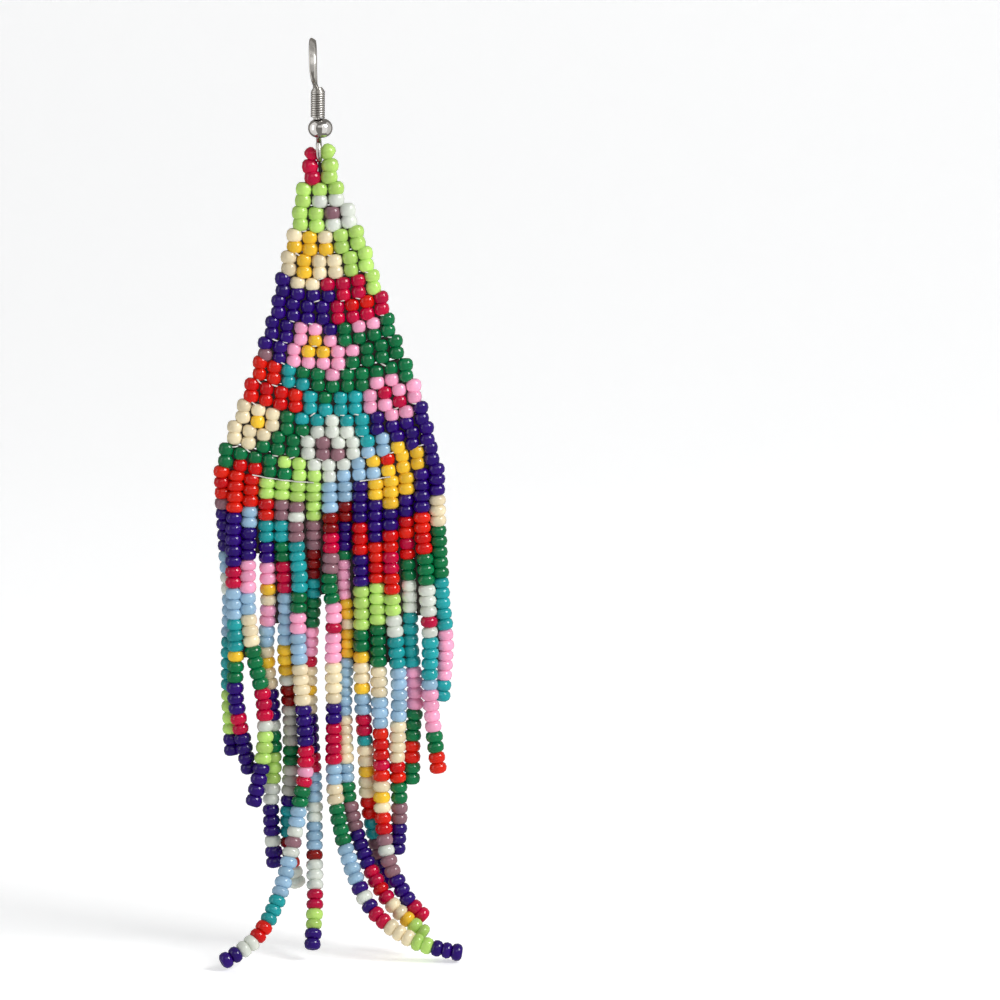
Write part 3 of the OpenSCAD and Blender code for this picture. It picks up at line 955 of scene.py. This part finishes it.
# Points that each string of beads passes, from its second bead to its tip, in millimetres.
STRAND_POINTS = (
    ((-15.1, 1.1, -68), (-14.8, 1.5, -78), (-15.2, 1.5, -85), (-15.4, 1.5, -92), (-15.3, 1.2, -100.2)),
    ((-13.8, -0.6, -68), (-14.1, -0.7, -78), (-14.1, -0.7, -85), (-14.4, -0.6, -92),
     (-12.9, 0.3, -102.7)),
    ((-11.7, -0.2, -68), (-12.2, -0.6, -78), (-11.7, -0.9, -85), (-10.5, -0.9, -92), (-10.6, -1.3, -99),
     (-12.5, -1.9, -107)),
    ((-9.25, 0, -68), (-9.35, 0.4, -78), (-10, 1.2, -86), (-9.5, 1.4, -93), (-9.5, 1.3, -101),
     (-10.1, 0.6, -108), (-9.8, 0, -116.3)),
    ((-7.1, 0, -68), (-6.9, 0.1, -78), (-7.2, 0.4, -86), (-6.9, 0.8, -93), (-7, 0.9, -101),
     (-7.6, 0.9, -108), (-7.7, 0.9, -114), (-6.7, 0.9, -119.5)),
    ((-5.05, -0.3, -67), (-5.05, -0.5, -71.5), (-4.8, -0.7, -75), (-5.2, -0.8, -80), (-5.3, -0.9, -85),
     (-5, -1, -92), (-4.8, -1.1, -101), (-5.9, -1.5, -107), (-7.4, -2.7, -114), (-9.6, -5.2, -120.5),
     (-12.7, -7.8, -125), (-17.2, -9.6, -127.6)),
    ((-2.6, 0.4, -68), (-3.1, 0.8, -78), (-3.8, 1.1, -85), (-4.2, 1.2, -92), (-4, 1.1, -101),
     (-3.9, 0.4, -107), (-4.1, -0.6, -114), (-4.2, -3, -121), (-4.7, -5.6, -127)),
    ((-0.22, -0.4, -68), (-0.3, -0.5, -72), (-0.7, -0.6, -76), (-0.2, -0.7, -79.5), (-0.45, -0.7, -85),
     (-0.6, -0.7, -92), (-0.9, -0.8, -101), (-0.8, -1, -107), (0.5, -2.2, -114), (3.2, -4.8, -120.6),
     (6.8, -6.9, -124.1), (11.2, -8, -126.3), (16.4, -8.6, -127.5)),
    ((1.8, 0.6, -68), (1.35, 0.9, -73), (1.2, 1.1, -77), (1.5, 1.1, -80), (1.4, 1.1, -85), (0.8, 1, -92),
     (0.7, 0.8, -101), (1, 0.3, -107), (2.7, -0.9, -114), (6.1, -3.6, -120.6), (11.4, -5.4, -125.6)),
    ((3.9, 0, -68), (3.75, 0.1, -78), (3.5, 0.1, -85), (3.4, 0.3, -92), (3.6, 0.5, -101),
     (3.7, 0.9, -107), (4.7, 1.3, -114), (6.6, 0.9, -120)),
    ((6.05, 0, -68), (6, 0, -78), (5.9, -0.1, -85), (5.8, -0.2, -92), (5.8, -0.5, -101), (5.7, -1, -108),
     (6.3, -2, -115), (8.6, -2.9, -120.4), (11.3, -3.2, -123.7)),
    ((8.1, -0.2, -68), (8.05, -0.4, -78), (8.4, -0.4, -85), (8.6, -0.4, -92), (8, -0.3, -101),
     (8.1, 0, -108), (7.5, 0.3, -115)),
    ((10.35, 0.3, -68), (10.5, 0.6, -78), (10.4, 0.7, -85), (10.8, 0.7, -92), (10.2, 0.7, -99),
     (9.9, 0.6, -105)),
    ((12.6, -0.2, -68), (12.85, -0.3, -73), (13, -0.4, -78), (13.2, -0.5, -85), (12.95, -0.5, -92),
     (13.8, -0.5, -103.3)),
    ((14.8, 0.4, -68), (15, 0.6, -78), (15.3, 0.8, -85), (14.5, 0.9, -93.2)),
)

# What is strung on each one, from the top: how many beads, and their glass.
STRINGS = (
    "3r 1m 4i 2s 2w 4s 5t 4l 2i",
    "4r 5i 2k 3s 3t 1y 2g 3i 2k 4i",
    "3r 2s 3i 3p 2s 3c 4g 3k 1w 3l 4i",
    "2l 2r 2t 2i 2p 1y 1c 2p 2s 1c 1y 2c 3i 1w 2g 3l 2w 3i 1w 2i",
    "2l 2m 2t 2g 3k 5s 3y 1w 2d 4a 2g 3a 1i 3t 1d 1m 1r 2w",
    "2l 1m 1w 2m 5t 2g 2p 3s 4c 4i 2k 1p 1k 2g 2s 1w 1m 1w 4s 3t 2r 2w 2i",
    "4l 3m 3d 2t 3g 3p 1k 2c 1y 2c 4i 2k 3s 2w 3s 1d 3w 2k 2l 2i",
    "3s 2d 2k 2m 3g 2p 1k 3p 4c 2i 4k 2s 2c 4g 4s 1i 1w 1i 2k 3c 2l 3i",
    "2s 2d 3i 1g 4p 2y 1c 3y 6s 5c 2s 2g 3m 4i 2k 1r 1k 2c 1y 2l",
    "4i 3r 3i 4l 2g 1y 2c 1y 2s 2k 1t 2c 1y 2c 2r 2t 2m 3i",
    "2y 4i 4r 4l 4g 3c 3s 3r 1k 1r 1c 1y 1c 2r 1m 1w 2m 3i 2k",
    "3y 2i 2r 2k 2r 2l 2w 3t 5s 4c 2r 2g 2m 3i",
    "2y 2i 2r 1k 1r 2g 3w 5t 4p 3g 2r 2g",
    "4i 4r 3g 3w 1k 1w 4t 1s 4p 2g 2r",
    "3i 3c 5g 5t 5p 2t",
)
STRAND_LEAD = 0.6 * MM
# A strung bead's girth and its length on its stretch of the line, and how much the stretches differ.
STRUNG_GIRTH = 1.11
STRUNG_SPAN = 1.12
STRUNG_SPREAD = 0.05
# The dark tubes of painted shade between the strings: their lowest point, the widest gap they run in,
# their steps, their place behind, their thickness.
SEAM_END = -88 * MM
SEAM_REACH = 2.65 * MM
SEAM_STEP = 0.8 * MM
SEAM_BACK = 0.3 * MM
SHADE_SEAM_WIDTH = 0.8 * MM


def at_run(distance, run, points):
    """The place on a line at a distance, where run holds the distances of its points."""
    return Vector([np.interp(distance, run, points[:, i]) for i in range(3)])


def strand_line(sizes, number):
    """The line of a string of beads, from the underside of the fan to its tip, as closely set points."""
    top = sizes.row_pitch / 2 + 0.04 * MM
    start, lead = (in_column(sizes, LAST_ROW, number, top + below)[0] for below in (0, STRAND_LEAD))
    passed = [Vector(p) * MM for p in STRAND_POINTS[number - 1]]
    return [start] + spline([lead] + passed, 40)


def strung_letters(number):
    """One letter for each bead of a string, from the top."""
    return "".join(run[-1] * int(run[:-1]) for run in STRINGS[number - 1].split())


def fringe_seams(sizes):
    """Painted shade: dark tubes behind the gaps of the upper fringe, as far down as the strings hang side
    by side.
    """
    paths = []
    lines = [np.array(strand_line(sizes, number)) for number in range(1, LAST_ROW + 1)]
    for left, right in zip(lines, lines[1:]):
        path = []
        for z in np.arange(max(left[0, 2], right[0, 2]), SEAM_END, -SEAM_STEP):
            a, b = (at_run(-z, -line[:, 2], line) for line in (left, right))
            if abs(a.x - b.x) > SEAM_REACH:
                break
            path.append((a + b) / 2 + Vector((0, SEAM_BACK, 0)))
        if len(path) > 2:
            paths.append(path)
    return wire_object("fringe_seams", paths, SHADE_SEAM_WIDTH, painted_shade_thread())


def strand_beads(sizes, colours, number):
    """A string of beads that shares out its line among them, on thread that shows where they part."""
    line = strand_line(sizes, number)
    steps = np.array([(b - a).length for a, b in zip(line, line[1:])])
    run = np.concatenate([[0.0], np.cumsum(steps)])
    letters = strung_letters(number)
    points = np.array(line)
    beads = BeadList(sizes, 10 + number)
    shares = np.array([1 + beads.random.uniform(-STRUNG_SPREAD, STRUNG_SPREAD) for _ in letters])
    ends = np.concatenate([[0.0], np.cumsum(shares)]) * run[-1] / shares.sum()
    for letter, low, high in zip(letters, ends, ends[1:]):
        top, middle, bottom = (at_run(d, run, points) for d in (low, (low + high) / 2, high))
        span = STRUNG_SPAN * (high - low) / sizes.bead_length
        beads.add(middle, (top - bottom).normalized(), letter, STRUNG_GIRTH, span)
    return beads.make(f"strand_{number:02d}_beads", colours, path_edges([len(letters)]))


# The stage

def area_light(name, place, target, width, height, power, only=()):
    """A rectangular light, which lights only those objects if any are named."""
    light = bpy.data.lights.new(name, "AREA")
    light.shape = "RECTANGLE"
    light.size = width
    light.size_y = height
    light.energy = power
    obj = bpy.data.objects.new(name, light)
    bpy.context.scene.collection.objects.link(obj)
    obj.location = place
    obj.rotation_euler = (Vector(target) - Vector(place)).to_track_quat("-Z", "Y").to_euler()
    if only:
        lit = bpy.data.collections.new(name + "_lit")
        for piece in only:
            lit.objects.link(bpy.data.objects[piece])
        obj.light_linking.receiver_collection = lit


def stage_material(colour):
    """Matt paper that glows a little, so that its shadows stay pale."""
    material, _, surface = shader("stage paper")
    surface.inputs["Base Color"].default_value = (*colour, 1.0)
    surface.inputs["Roughness"].default_value = 0.9
    surface.inputs["Specular IOR Level"].default_value = 0.1
    surface.inputs["Emission Color"].default_value = (1.0, 1.0, 1.0, 1.0)
    surface.inputs["Emission Strength"].default_value = 0.405
    return material


def studio_world():
    """Dim soft light all round, brighter in reflections, and pale where it is seen past the floor."""
    world = bpy.data.worlds.new("studio")
    world.use_nodes = True
    make = NodeMaker(world.node_tree)
    light, mirrored, seen = (
        make.first("ShaderNodeBackground", {"Color": (*colour, 1.0), "Strength": strength})
        for colour, strength in (
            ((0.62, 0.64, 0.66), 0.22), ((0.66, 0.63, 0.59), 0.42), ((0.93, 0.93, 0.93), 1.0),
        )
    )
    ray = make.add("ShaderNodeLightPath").outputs
    shown = make.first("ShaderNodeMixShader", {0: ray["Is Glossy Ray"], 1: light, 2: mirrored})
    shown = make.first("ShaderNodeMixShader", {0: ray["Is Camera Ray"], 1: shown, 2: seen})
    make.link(shown, make.tree.nodes["World Output"].inputs["Surface"])
    return world


def sweep_floor(colour, floor_z):
    """A floor that curves up into a wall behind."""
    front, back, height, bend, half_width = -2.4, 0.8, 2.5, 0.35, 3.0
    outline = [(front, floor_z), (back - bend, floor_z)]
    outline += [
        (back - bend + bend * math.sin(a), floor_z + bend - bend * math.cos(a))
        for a in np.linspace(0, math.pi / 2, 24)[1:]
    ]
    outline.append((back, floor_z + height))
    points = [(x, y, z) for y, z in outline for x in (-half_width, half_width)]
    faces = [(2 * i, 2 * i + 1, 2 * i + 3, 2 * i + 2) for i in range(len(outline) - 1)]
    obj = skin("stage_floor", points, faces, stage_material(colour))
    obj.visible_glossy = False
    return obj


def stage_camera(look):
    """The camera at the photograph's angle and framing."""
    middle = Vector((23.6, 0, -64.8)) * MM
    down = look.camera_height
    forward = Vector((0, math.cos(down), -math.sin(down)))
    level, upright = Vector((1, 0, 0)), Vector((0, math.sin(down), math.cos(down)))
    c, s = math.cos(look.camera_roll), math.sin(look.camera_roll)
    right, up = level * c - upright * s, level * s + upright * c
    camera = bpy.data.cameras.new("camera")
    camera.lens = camera.sensor_width * look.camera_distance / look.picture_width
    camera.clip_start, camera.clip_end = 0.01, 20.0
    obj = bpy.data.objects.new("camera", camera)
    bpy.context.scene.collection.objects.link(obj)
    turn = Matrix((right, up, -forward)).transposed().to_4x4()
    obj.matrix_world = Matrix.Translation(middle - forward * look.camera_distance) @ turn
    bpy.context.scene.camera = obj


# Operators

class PieceOperator:
    """What the earring's operators share."""

    bl_options = {"REGISTER", "UNDO"}

    @staticmethod
    def fitted(obj, body, slot, *nodes):
        """Ties a finished piece to its body and hides the solids it stands for; its material slot is not
        used.
        """
        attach(obj, body)
        if nodes:
            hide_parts(*nodes)


class EARRING_OT_hook_wire(PieceOperator, bpy.types.Operator):
    """Make the ear hook's wire, from its loop to the end of its tail"""

    bl_idname = "earring.hook_wire"
    bl_label = "Hook wire"

    def execute(self, context):
        self.fitted(hook_wire(context.scene.earring_hook), "hook", "silver_wire", "ear_hook")
        return {"FINISHED"}


class EARRING_OT_hook_coil(PieceOperator, bpy.types.Operator):
    """Wind the coil of thin wire on the stem"""

    bl_idname = "earring.hook_coil"
    bl_label = "Hook coil"

    def execute(self, context):
        self.fitted(coil_wire(context.scene.earring_hook), "hook", "silver_wire", "hook_coil")
        return {"FINISHED"}


class EARRING_OT_hook_ball(PieceOperator, bpy.types.Operator):
    """Turn the polished ball on the stem"""

    bl_idname = "earring.hook_ball"
    bl_label = "Hook ball"

    def execute(self, context):
        self.fitted(polished_ball(context.scene.earring_hook), "hook", "polished_ball", "hook_ball")
        return {"FINISHED"}


class EARRING_OT_top_beads(PieceOperator, bpy.types.Operator):
    """Put the two beads beside the wire loop, and their thread through it"""

    bl_idname = "earring.top_beads"
    bl_label = "Top beads"

    def execute(self, context):
        scene = context.scene
        beads, thread = top_beads(scene.earring_beads, scene.earring_glass)
        self.fitted(beads, "drop", "glass_crimson", "top_loop")
        self.fitted(thread, "drop", "nylon_thread")
        return {"FINISHED"}


class EARRING_OT_fan(PieceOperator, bpy.types.Operator):
    """Stitch the fan of beads with its flowers"""

    bl_idname = "earring.fan"
    bl_label = "Fan"

    def execute(self, context):
        sizes = context.scene.earring_beads
        self.fitted(fan_beads(sizes, context.scene.earring_glass), "drop", "glass_green", "bead_panel")
        # Dark thread in the seams: painted shade in the gaps of the fan.
        self.fitted(fan_stitches(sizes), "drop", "nylon_thread")
        self.fitted(fan_thread(sizes), "drop", "nylon_thread")
        return {"FINISHED"}


class EARRING_OT_fringe(PieceOperator, bpy.types.Operator):
    """String the beads of the fringe, one piece for each string"""

    bl_idname = "earring.fringe"
    bl_label = "Fringe"

    def execute(self, context):
        scene = context.scene
        slots = {part["node"]: part["material_slot"] for part in frame["record"]["subparts"]}
        for number in range(1, LAST_ROW + 1):
            node = f"strand_{number:02d}"
            beads = strand_beads(scene.earring_beads, scene.earring_glass, number)
            self.fitted(beads, "drop", slots[node], node)
        # Dark tubes behind the upper fringe: painted shade in the gaps between the strings.
        self.fitted(fringe_seams(scene.earring_beads), "drop", "nylon_thread")
        return {"FINISHED"}


class EARRING_OT_stage(PieceOperator, bpy.types.Operator):
    """Set the floor, the lights and the camera"""

    bl_idname = "earring.stage"
    bl_label = "Stage"

    def execute(self, context):
        look = context.scene.earring_stage
        stage_camera(look)
        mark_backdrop(sweep_floor(tuple(look.floor_colour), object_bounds()[0].z - 0.2 * MM))
        target = (0, 0, -0.06)
        area_light("key_light", (0.57, -0.32, 0.36), target, 0.34, 0.34, look.key_power)
        area_light("fill_light", (-0.72, -0.2, 0.12), target, 0.3, 0.7, look.fill_power)
        area_light("front_light", (0.05, -0.9, 0.5), target, 0.9, 0.5, look.front_power)
        metal = ("hook_wire", "coil_wire", "ball_shell")
        # Each card's place and size, its share of the brightness, and the pieces that it lights.
        for name, place, width, height, strength, lit in (
            ("left_card", (-0.6, -0.12, -0.01), 1.0, 2.4, 1.0, metal),
            ("right_card", (0.45, -0.45, -0.01), 0.6, 1.8, 1.0, metal),
            ("front_card", (0.05, -0.7, 0.35), 1.1, 1.5, 0.45, ("hook_wire",)),
            ("top_card", (0.0, 0.05, 0.75), 1.7, 1.2, 0.45, ("hook_wire",)),
            ("side_card", (0.75, 0.1, 0.0), 0.9, 1.8, 0.7, metal),
        ):
            power = math.pi * width * height * look.card_brightness * strength
            area_light(name, place, (0, 0, -0.01), width, height, power, lit)
        context.scene.world = studio_world()
        context.scene.view_settings.view_transform = "Standard"
        return {"FINISHED"}


OPERATORS = (
    EARRING_OT_hook_wire, EARRING_OT_hook_coil, EARRING_OT_hook_ball, EARRING_OT_top_beads,
    EARRING_OT_fan, EARRING_OT_fringe, EARRING_OT_stage,
)


class EARRING_PT_panel(bpy.types.Panel):
    """Sizes, colours and operators of the earring"""

    bl_idname = "EARRING_PT_panel"
    bl_label = "Beaded drop earring"
    bl_space_type = "VIEW_3D"
    bl_region_type = "UI"
    bl_category = "Earring"

    def draw(self, context):
        for attribute, settings in SETTINGS.items():
            box = self.layout.box()
            box.label(text=settings.__doc__)
            for name in settings.__annotations__:
                box.prop(getattr(context.scene, attribute), name)
        for operator in OPERATORS:
            self.layout.operator(operator.bl_idname)


CLASSES = (*SETTINGS.values(), *OPERATORS, EARRING_PT_panel)


def register():
    for cls in CLASSES:
        bpy.utils.register_class(cls)
    for attribute, settings in SETTINGS.items():
        setattr(bpy.types.Scene, attribute, bpy.props.PointerProperty(type=settings))


def unregister():
    for attribute in SETTINGS:
        delattr(bpy.types.Scene, attribute)
    for cls in reversed(CLASSES):
        bpy.utils.unregister_class(cls)


def main():
    register()
    for operator in OPERATORS:
        group, name = operator.bl_idname.split(".")
        getattr(getattr(bpy.ops, group), name)()


if __name__ == "__main__":
    main()
